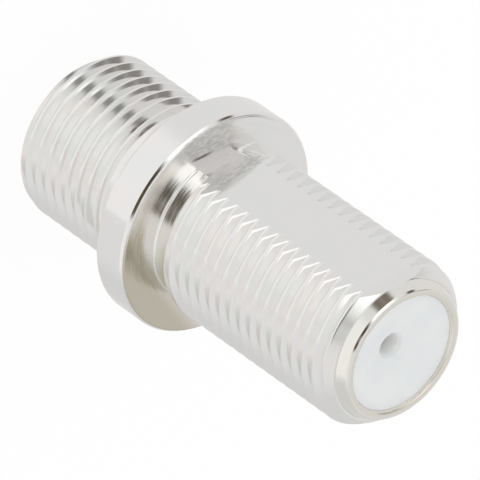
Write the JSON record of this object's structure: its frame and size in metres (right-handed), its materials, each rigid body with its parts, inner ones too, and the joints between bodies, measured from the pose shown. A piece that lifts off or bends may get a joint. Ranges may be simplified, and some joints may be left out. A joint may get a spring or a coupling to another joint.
{
  "type": "coaxial connector",
  "caption": "Flanged panel adapter that joins two coaxial cables: a turned shell with a threaded socket at each end, a flat along the longer thread, and dished white insulators.",
  "frame": {"origin": "centre of the rear end face, on the surface that the connector stands on", "axes": "+Z along the connector's axis towards the front end with the rolled lip; the flat on the front thread faces -Y"},
  "size_m": [0.0126, 0.0126, 0.0249],
  "materials": {
    "nickel": "polished",
    "insulator": "satin",
    "contact": "satin"
  },
  "bodies": {
    "root": {"body": "nickel", "front_insulator": "insulator", "rear_insulator": "insulator", "centre_contact": "contact"}
  },
  "joints": []
}
